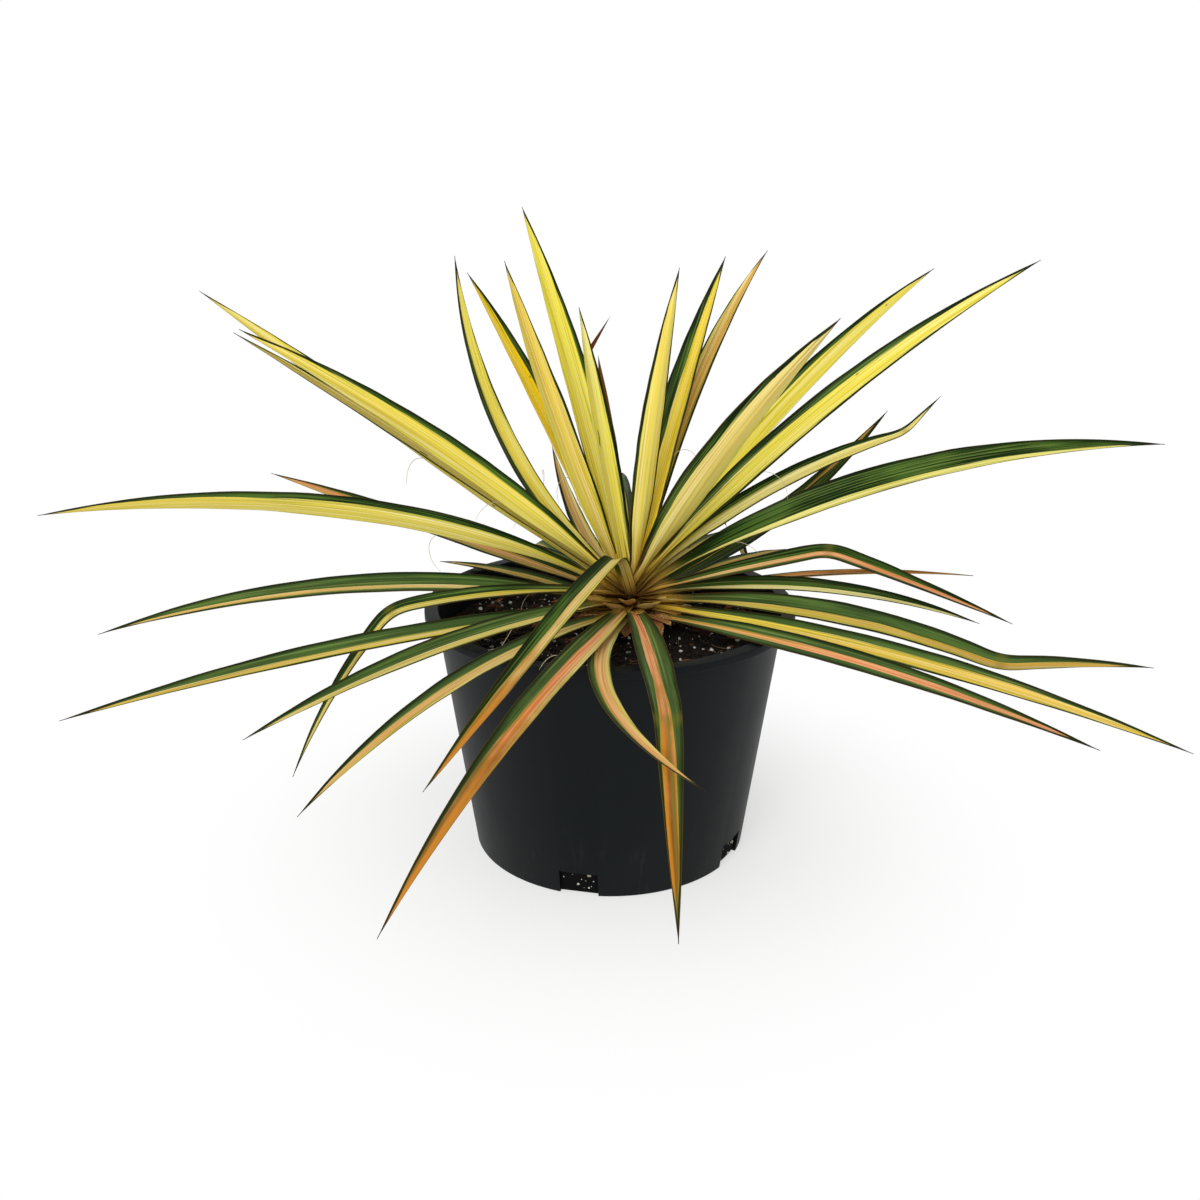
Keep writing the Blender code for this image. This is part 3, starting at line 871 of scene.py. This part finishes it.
vein = streaks(0.9, 90)
fine_vein = streaks(0.8, 130, offset=13)
broad = streaks(3.2, 120, offset=3)
blotch = streaks(5, 16, detail=3.0, offset=9)
wander = streaks(9, 42, offset=5)
print("lanes, veins and blotches ready")

# %% [markdown]
# The green band is found by a sum. It is zero at the band's edge, above zero inside it, and lower by 1
# for each half width of blade beyond it. So one number gives the crisp edge, the olive haze beside it
# and the thin green lines further off. Noise is added to it before it is cut, which is what makes the
# edge wander as the real one does, and half of it is taken off again, because noise is a half on
# average. A band of no width is taken well off the blade, so that none of its haze is left along the
# margin.

# %% Leaf finish: where it is green
EDGE_WANDER = 0.22
EDGE_RAGGED = 0.10
BARE_MARGIN = (0.0, 0.03, -0.4, 0.0)
from_right = add(tree, "Math", [right, 2.0, across], operation="MULTIPLY_ADD")
bare_right = add(tree, "MapRange", [right, *BARE_MARGIN])
from_right = add(tree, "Math", [from_right, bare_right], operation="ADD")
from_left = add(tree, "Math", [left, 2.0], operation="MULTIPLY")
from_left = add(tree, "Math", [from_left, across], operation="SUBTRACT")
bare_left = add(tree, "MapRange", [left, *BARE_MARGIN])
from_left = add(tree, "Math", [from_left, bare_left], operation="ADD")
inside = add(tree, "Math", [from_right, from_left], operation="MAXIMUM")
inside = add(tree, "Math", [wander, EDGE_WANDER, inside], operation="MULTIPLY_ADD")
inside = add(tree, "Math", [vein, EDGE_RAGGED, inside], operation="MULTIPLY_ADD")
inside = add(tree, "Math", [inside, 1 + (EDGE_WANDER + EDGE_RAGGED) / 2], operation="SUBTRACT")
to_tip = add(tree, "MapRange", [along, 0.9, 1.0, 0.0, 0.9], **SMOOTH)
to_root = add(tree, "MapRange", [along, 0.08, 0.0, 0.0, 0.35], **SMOOTH)
inside = add(tree, "Math", [inside, to_tip], operation="ADD")
inside = add(tree, "Math", [inside, to_root], operation="SUBTRACT")
shrink = add(tree, "MapRange", [along, 0.5, 0.88, 0.0, 0.6], **SMOOTH)
shrink = add(tree, "Math", [shrink, dry], operation="MULTIPLY")
inside = add(tree, "Math", [inside, shrink], operation="SUBTRACT")
green = add(tree, "MapRange", [inside, -0.015, 0.03], **SMOOTH)
haze = add(tree, "MapRange", [inside, -0.22, -0.01, 0.0, 0.6], **SMOOTH)
veined = add(tree, "MapRange", [vein, 0.44, 0.56], **SMOOTH)
haze = add(tree, "Math", [haze, veined], operation="MULTIPLY")
near = add(tree, "MapRange", [inside, -0.9, -0.1, 0.0, 0.7], **SMOOTH)
line = add(tree, "MapRange", [fine_vein, 0.615, 0.66], **SMOOTH)
line = add(tree, "Math", [line, near], operation="MULTIPLY")
print("green bands, haze and lines placed")

# %% [markdown]
# The green is darkest along the margin and between the veins. Leaves low on the stem are the oldest and
# have faded a little, and a drying leaf goes olive brown towards its far end.

# %% Leaf finish: the green itself
tone = add(tree, "Math", [vein, wander], operation="ADD")
tone = add(tree, "MapRange", [tone, 0.9, 1.22], **SMOOTH)
deep = add(tree, "Mix", [tone, "#122808", "#466324"], **COLOUR)
aged = add(tree, "MapRange", [number, 28, 6, 0.0, 0.45], **SMOOTH)
deep = add(tree, "Mix", [aged, deep, "#58723c"], **COLOUR)
pale_vein = add(tree, "MapRange", [fine_vein, 0.54, 0.66, 0.0, 0.55], **SMOOTH)
deep = add(tree, "Mix", [pale_vein, deep, "#84944e"], **COLOUR)
edge_dark = add(tree, "MapRange", [mm_margin, 2.4, 0.5, 0.0, 0.9], **SMOOTH)
deep = add(tree, "Mix", [edge_dark, deep, "#0c1705"], **COLOUR)
far = add(tree, "MapRange", [along, 0.45, 0.95, 0.0, 0.7], **SMOOTH)
wilted = add(tree, "Math", [far, dry], operation="MULTIPLY")
deep = add(tree, "Mix", [wilted, deep, "#33300f"], **COLOUR)
print("green margins ready")

# %% [markdown]
# The heart runs from cream through butter yellow to gold, in lanes a few millimetres wide, because each
# lane is a row of cells of its own age. Fine veins lie over it, darker and lighter by turns.

# %% Leaf finish: the pale heart
warm = add(tree, "Math", [broad, 0.9, gold], operation="MULTIPLY_ADD")
warm = add(tree, "Math", [warm, 0.45], operation="SUBTRACT")
root_gold = add(tree, "MapRange", [along, 0.2, 0.0, 0.0, 0.4], **SMOOTH)
warm = add(tree, "Math", [warm, root_gold], operation="ADD")
cream = add(tree, "MapRange", [warm, 0.0, 0.6], **SMOOTH)
heart = add(tree, "Mix", [cream, "#f3eda0", "#eedf4e"], **COLOUR)
golden = add(tree, "MapRange", [warm, 0.6, 1.25], **SMOOTH)
heart = add(tree, "Mix", [golden, heart, "#f1c816"], **COLOUR)
aging = add(tree, "MapRange", [dry, 0.0, 0.12, 0.0, 0.5], **SMOOTH)
heart = add(tree, "Mix", [aging, heart, "#a99a40"], **COLOUR)
dark_vein = add(tree, "MapRange", [vein, 0.5, 0.68, 0.0, 0.45], **SMOOTH)
heart = add(tree, "Mix", [dark_vein, heart, "#a29219"], **COLOUR)
light_vein = add(tree, "MapRange", [fine_vein, 0.48, 0.34, 0.0, 0.5], **SMOOTH)
heart = add(tree, "Mix", [light_vein, heart, "#faf3c4"], **COLOUR)
print("pale heart ready")

# %% [markdown]
# The coral flush is strongest down the middle of an old leaf and beside its wider green band, grows
# towards the far half, and comes and goes in lanes.

# %% Leaf finish: the coral flush
middle = add(tree, "Math", [across], operation="ABSOLUTE")
middle = add(tree, "MapRange", [middle, 1.0, 0.65, 0.4, 1.0], **SMOOTH)
reach = add(tree, "MapRange", [along, 0.0, 0.65, 0.5, 1.05], **SMOOTH)
patchy = add(tree, "Math", [broad, 1.1, 0.4], operation="MULTIPLY_ADD")
coral = add(tree, "Math", [flush, reach], operation="MULTIPLY")
coral = add(tree, "Math", [coral, patchy], operation="MULTIPLY")
coral = add(tree, "Math", [coral, middle], operation="MULTIPLY", use_clamp=True)
lean = add(tree, "Math", [right, left], operation="SUBTRACT")
lean = add(tree, "Math", [lean], operation="SIGN")
lean = add(tree, "Math", [lean, across], operation="MULTIPLY")
by_green = add(tree, "MapRange", [lean, -0.9, -0.2, 0.1, 1.0], **SMOOTH)
coral = add(tree, "Math", [coral, by_green], operation="MULTIPLY")
blush = add(tree, "MapRange", [vein, 0.4, 0.62], **SMOOTH)
blush = add(tree, "Mix", [blush, "#edaa7a", "#dc7441"], **COLOUR)
heart = add(tree, "Mix", [coral, heart, blush], **COLOUR)
print("coral flush ready")

# %% [markdown]
# A leaf dries from its point inwards, in orange-brown blotches, and a dead one is dark brown all over.

# %% Leaf finish: dried ends
brown = add(tree, "Math", [blotch, 0.5, along], operation="MULTIPLY_ADD")
brown = add(tree, "MapRange", [brown, 0.6, 1.1, 0.0, 1.6], **SMOOTH)
brown = add(tree, "Math", [brown, dry], operation="MULTIPLY", use_clamp=True)
scorched = add(tree, "MapRange", [broad, 0.4, 0.62], **SMOOTH)
scorched = add(tree, "Mix", [scorched, "#bd7a25", "#7d4d19"], **COLOUR)
heart = add(tree, "Mix", [brown, heart, scorched], **COLOUR)
dead = add(tree, "MapRange", [dry, 1.0, 2.0, 0.0, 0.85])
heart = add(tree, "Mix", [dead, heart, "#4a2313"], **COLOUR)
print("dried ends ready")

# %% [markdown]
# Last come the things that lie over both tissues: the ochre of the clasping base, its brown creases and
# darker root, both partly painted shade where the bases crowd into the crown, the dark point, the
# brown hairline where a thread has peeled from the margin, a bruise along any fold, and small dead
# spots. The under face carries the same stripes, a little paler.

# %% Leaf finish: both tissues and the base
colour = add(tree, "Mix", [haze, heart, "#868d36"], **COLOUR)
colour = add(tree, "Mix", [line, colour, "#5c7a35"], **COLOUR)
paler = add(tree, "MapRange", [upper, 1.0, 0.0, 0.0, 0.2])
colour = add(tree, "Mix", [paler, colour, "#d9d8a0"], **COLOUR)
colour = add(tree, "Mix", [green, colour, deep], **COLOUR)

base = add(tree, "Math", [vein, 0.04, along], operation="MULTIPLY_ADD")
ochre = add(tree, "MapRange", [base, 0.1, 0.035, 0.0, 0.65], **SMOOTH)
colour = add(tree, "Mix", [ochre, colour, "#c39c3a"], **COLOUR)
# Brown creases along the clasping base, with painted shade in the same lanes where the bases crowd
# together.
creases_and_shade = add(tree, "MapRange", [fine_vein, 0.5, 0.62], **SMOOTH)
clasp = add(tree, "MapRange", [along, 0.2, 0.02, 0.0, 0.85], **SMOOTH)
creases_and_shade = add(tree, "Math", [creases_and_shade, clasp], operation="MULTIPLY")
colour = add(tree, "Mix", [creases_and_shade, colour, "#6e4424"], **COLOUR)
# A darker brown at the very root, partly its own colour and partly painted shade where it tucks into the
# crown.
root_brown_and_shade = add(tree, "MapRange", [base, 0.05, -0.01, 0.0, 0.85], **SMOOTH)
colour = add(tree, "Mix", [root_brown_and_shade, colour, "#6b431b"], **COLOUR)
print("base ready")

# %% Leaf finish: bruises, spots, margin and point
off_fold = add(tree, "Math", [along, crease_at], operation="SUBTRACT")
off_fold = add(tree, "Math", [off_fold], operation="ABSOLUTE")
bruise = add(tree, "MapRange", [off_fold, 0.02, 0.0, 0.0, 0.35], **SMOOTH)
colour = add(tree, "Mix", [bruise, colour, "#6f6a24"], **COLOUR)
spot = add(tree, "MapRange", [blotch, 0.735, 0.76, 0.0, 0.8], **SMOOTH)
colour = add(tree, "Mix", [spot, colour, "#3a2c14"], **COLOUR)
margin = add(tree, "MapRange", [mm_margin, 0.35, 0.05, 0.0, 0.45], **SMOOTH)
colour = add(tree, "Mix", [margin, colour, "#6e5526"], **COLOUR)
point = add(tree, "Math", [vein, 0.02, along], operation="MULTIPLY_ADD")
point = add(tree, "MapRange", [point, 0.968, 0.996], **SMOOTH)
colour = add(tree, "Mix", [point, colour, "#2a2118"], **COLOUR)
print("colour of the leaf ready")

# %% Leaf finish: wax and ribs
RIB_DEPTH = 0.2 * MM
ribs = add(tree, "Bump", {"Height": fine_vein, "Strength": 0.4, "Distance": RIB_DEPTH})
sheen = add(tree, "MapRange", [blotch, 0.3, 0.7, 0.38, 0.52])
sheen = add(tree, "Math", [brown, 0.2, sheen], operation="MULTIPLY_ADD")
tree.links.new(colour, shader.inputs["Base Color"])
tree.links.new(sheen, shader.inputs["Roughness"])
tree.links.new(ribs, shader.inputs["Normal"])
for i, mesh in enumerate(leaf_meshes):
    show(mesh.name, mesh, leaf_wax, [f"leaf_{i + 1:02d}"])
print("finished", len(leaf_meshes), "leaves")

# %% [markdown]
# ## The crown
#
# The stem is hidden by leaf bases, live ones and what is left of older ones, dried to tan paper and
# fraying into fibre. Inside sits a small ribbed core. Round it stand short dead bases: a low ring that
# lies out over the mix, and an upper ring of torn scales that fills the gaps between the live leaves.
# They are made by the leaf function, so they clasp the stem as live leaves do.

# %% Crown core
CORE_RADIUS = 5 * MM
CORE_TOP = 127 * MM
CORE_FOOT = 107 * MM
CORE_STEPS = 96
RIDGE_HEIGHT = 0.08
RIDGE_WIDTH, RIDGE_LENGTH = 3.2 * MM, 20 * MM
turns = [radians(6 * i) for i in range(16)]
dome = [(CORE_RADIUS * sin(a), CORE_TOP - CORE_RADIUS * (1 - cos(a))) for a in turns]
stem = [(CORE_RADIUS, CORE_TOP - CORE_RADIUS - i * MM) for i in range(1, 14)]
crown_mesh = turned("crown", dome + stem + [(0, CORE_FOOT)], CORE_STEPS)
for vert in crown_mesh.vertices:
    x, y, z = vert.co
    ridge = noise.noise(Vector((x / RIDGE_WIDTH, y / RIDGE_WIDTH, z / RIDGE_LENGTH)))
    swell = 1 + RIDGE_HEIGHT * ridge
    vert.co = (x * swell + CROWN.x, y * swell, z)
crown_mesh.shade_smooth()
print("the core is", round((CORE_TOP - CORE_FOOT) / MM), "mm tall")

# %% [markdown]
# ### Dried leaf bases
#
# Dead yucca bases dry to a papery tan, split along their fibres, and keep a chestnut stain where they
# stayed damp. There is no shine left in them. The fibres are a third of a millimetre thick and are
# drawn at twice that.

# %% Finish of the leaf bases
STRAND_SIZE = 0.7 * MM
STAIN_SIZE = 5 * MM
STRAND_DEPTH = 0.4 * MM
fibre, tree, shader = new_material("dried_leaf_bases", specular=0.15, roughness=0.85)
place = add(tree, "TexCoord", []).node.outputs["Object"]
drawn = add(tree, "VectorMath", [place, (1, 1, 0.25)], operation="MULTIPLY")
strand = add(tree, "TexNoise", {"Vector": drawn, "Scale": 1 / STRAND_SIZE, "Detail": 3.0})
patch = add(tree, "TexNoise", {"Vector": place, "Scale": 1 / STAIN_SIZE, "Detail": 3.0})
split = add(tree, "MapRange", [strand, 0.36, 0.62], **SMOOTH)
tan = add(tree, "Mix", [split, "#4b2c14", "#cda662"], **COLOUR)
stain = add(tree, "MapRange", [patch, 0.42, 0.56, 0.0, 0.75], **SMOOTH)
tan = add(tree, "Mix", [stain, tan, "#a8643c"], **COLOUR)
bump = add(tree, "Bump", {"Height": strand, "Strength": 0.7, "Distance": STRAND_DEPTH})
tree.links.new(tan, shader.inputs["Base Color"])
tree.links.new(bump, shader.inputs["Normal"])
show("crown", crown_mesh, fibre, ["crown"])
print("finished the core")

# %% [markdown]
# ### Bases and scales
#
# The low bases stand evenly round the stem, a few degrees off at random. Each scale is a golden angle on
# from the one below, as leaves on a stem are. Their numbers only set their noise and their age.

# %% Bases and scales
LOW_BASES = 16
BASE_NUMBER = 60
SCALES = 16
SCALE_NUMBER = 20
GOLDEN_ANGLE = 137.5
for i in range(LOW_BASES):
    base = Leaf(i * 360 / LOW_BASES + draw.uniform(-9, 9), draw.uniform(-12, 20), draw.uniform(13, 27),
                draw.uniform(8, 12), 0.05, 0.05, 0.6, 0.6, dry=1, droop=draw.uniform(0, 30))
    name = f"old_leaf_base_{i + 1:02d}"
    show(name, leaf_mesh(name, base, BASE_NUMBER + i, 0.02), fibre)
for i in range(SCALES):
    scale = Leaf(i * GOLDEN_ANGLE % 360, draw.uniform(-5, 35), draw.uniform(12, 22), draw.uniform(8, 11),
                 0, 0, draw.uniform(0.2, 0.8), 0.9, dry=draw.uniform(0, 0.5), droop=draw.uniform(-10, 15))
    name = f"clasping_scale_{i + 1:02d}"
    mesh = leaf_mesh(name, scale, SCALE_NUMBER + i, 0.05 + 0.35 * i / SCALES)
    show(name, mesh, leaf_wax)
print("finished the crown,", LOW_BASES, "old leaf bases and", SCALES, "scales")

# %% [markdown]
# ## Threads and root fibres
#
# As a yucca leaf opens, its margins peel away in pale curling threads, and this is what tells the plant
# from a dracaena. Each is a fine tube along a path whose heading turns a little more at every step, so
# it curls like the real fibre. They are drawn 0.3 mm across, a shade thicker than life, so that they can
# be seen. The straw-coloured root fibres on the mix are the same thing laid down.

# %% Fine tubes
THINNED = 0.6
CURL_STEPS = 26


def tube(verts, faces, points, radius, sides=5):
    """Adds a tapering tube along points to a mesh in the making."""
    start = len(verts)
    for i, point in enumerate(points):
        ahead = points[min(i + 1, len(points) - 1)] - points[max(i - 1, 0)]
        turn = ahead.to_track_quat("Z", "X")
        r = radius * (1 - THINNED * (i / (len(points) - 1)) ** 3)
        for k in range(sides):
            a = tau * k / sides
            verts.append(point + turn @ Vector((r * cos(a), r * sin(a), 0)))
    for i in range(len(points) - 1):
        for k in range(sides):
            a, b = start + i * sides + k, start + i * sides + (k + 1) % sides
            faces.append([a, b, b + sides, a + sides])
    faces.append([start + k for k in range(sides)][::-1])
    faces.append([len(verts) - sides + k for k in range(sides)])


def curl(start, heading, length, bend, droop, lowest):
    """A path from start whose heading turns by about bend degrees a step, kept above lowest(point)."""
    points = [start.copy()]
    axis = Vector((draw.gauss(0, 1), draw.gauss(0, 1), draw.gauss(0, 0.6))).normalized()
    for _ in range(CURL_STEPS):
        turn = Matrix.Rotation(radians(bend * draw.uniform(0.3, 1.7)), 3, axis)
        heading = (turn @ heading - Vector((0, 0, droop))).normalized()
        step = points[-1] + heading * (length / CURL_STEPS)
        step.z = max(step.z, lowest(step))
        points.append(step)
    return points


print("a curl has", CURL_STEPS, "steps")

# %% [markdown]
# ### Root fibres
#
# A fibre starts at a random spot on the mix and is kept just above it. Where a path would run into the
# pot's wall, it ends.

# %% Root fibres
FIBRES = 70
FIBRE_REACH = 82 * MM
FIBRE_START, FIBRE_LIFT = 0.8 * MM, 0.6 * MM
FIBRE_LENGTHS = (6, 22)
FIBRE_RADII = (0.12, 0.28)
FIBRE_TURN, FIBRE_DROOP = 5, 0.06
verts, faces = [], []
for _ in range(FIBRES):
    place = soil_spot(FIBRE_REACH) + Vector((0, 0, FIBRE_START))
    a = draw.uniform(0, tau)
    path = curl(place, Vector((cos(a), sin(a), draw.uniform(0, 0.4))), draw.uniform(*FIBRE_LENGTHS) * MM,
                FIBRE_TURN, FIBRE_DROOP, lambda p: soil_height(p.x, p.y) + FIBRE_LIFT)
    path = [p for p in path if hypot(p.x, p.y) < MIX_REACH]
    if len(path) > 3:
        tube(verts, faces, path, draw.uniform(*FIBRE_RADII) * MM, sides=4)
fibres = fresh_mesh("root_fibres", verts, faces)
straw = earth("straw_root_fibre", "#4a3722", "#94805c", grain=1.1 * MM, spread=0.8)
show("root_fibres", fibres, straw)
print(FIBRES, "root fibres,", len(fibres.polygons), "faces")

# %% [markdown]
# ### Margin threads
#
# A thread leaves the margin in the near half of a leaf, forwards and outwards. It may hang as low as the
# mix, the pot's lip or the floor. The eight oldest leaves and the three dried ones have lost theirs.

# %% Margin threads
THREADS = 28
THREAD_RADIUS = 0.15 * MM
THREAD_LENGTHS = (9, 28)
THREAD_TURNS, THREAD_DROOPS = (1, 6), (0.02, 0.10)
NEAR_HALF = (0.08, 0.42)
OLDEST_LEAVES = 8
DRIED_LEAVES = (16, 29, 32)
CLEARANCE = 1.5 * MM


def over_the_pot(point):
    """The lowest a thread may hang: on the mix within the pot, on the floor outside it."""
    r = hypot(point.x, point.y)
    if r < wall_radius(POT_HEIGHT, POT_WALL):
        return soil_height(point.x, point.y) + CLEARANCE
    return POT_HEIGHT + MM if r < RIM_RADIUS + 2 * MM else MM


shedding = [n for n in range(OLDEST_LEAVES, len(LEAVES)) if n + 1 not in DRIED_LEAVES]
verts, faces = [], []
for _ in range(THREADS):
    k = draw.choice(shedding)
    ring, s, _ = leaf_blade(LEAVES[k], k, k / (len(LEAVES) - 1))
    row = int(len(s) * draw.uniform(*NEAR_HALF))
    lane = draw.choice([0, len(ACROSS) - 1])
    place, inner = Vector(ring[row, lane]), Vector(ring[row, len(ACROSS) // 2])
    outward = (place - inner).normalized()
    forward = (Vector(ring[row + 2, lane]) - place).normalized()
    heading = (forward * 0.8 + outward * 0.6).normalized()
    path = curl(place, heading, draw.uniform(*THREAD_LENGTHS) * MM, draw.uniform(*THREAD_TURNS),
                draw.uniform(*THREAD_DROOPS), over_the_pot)
    tube(verts, faces, path, THREAD_RADIUS)
threads = fresh_mesh("margin_threads", verts, faces)
peeled = earth("peeled_leaf_thread", "#b3a884", "#dcd3b4", grain=2 * MM, spread=0.5)
show("margin_threads", threads, peeled)
print(THREADS, "threads,", len(threads.polygons), "faces")
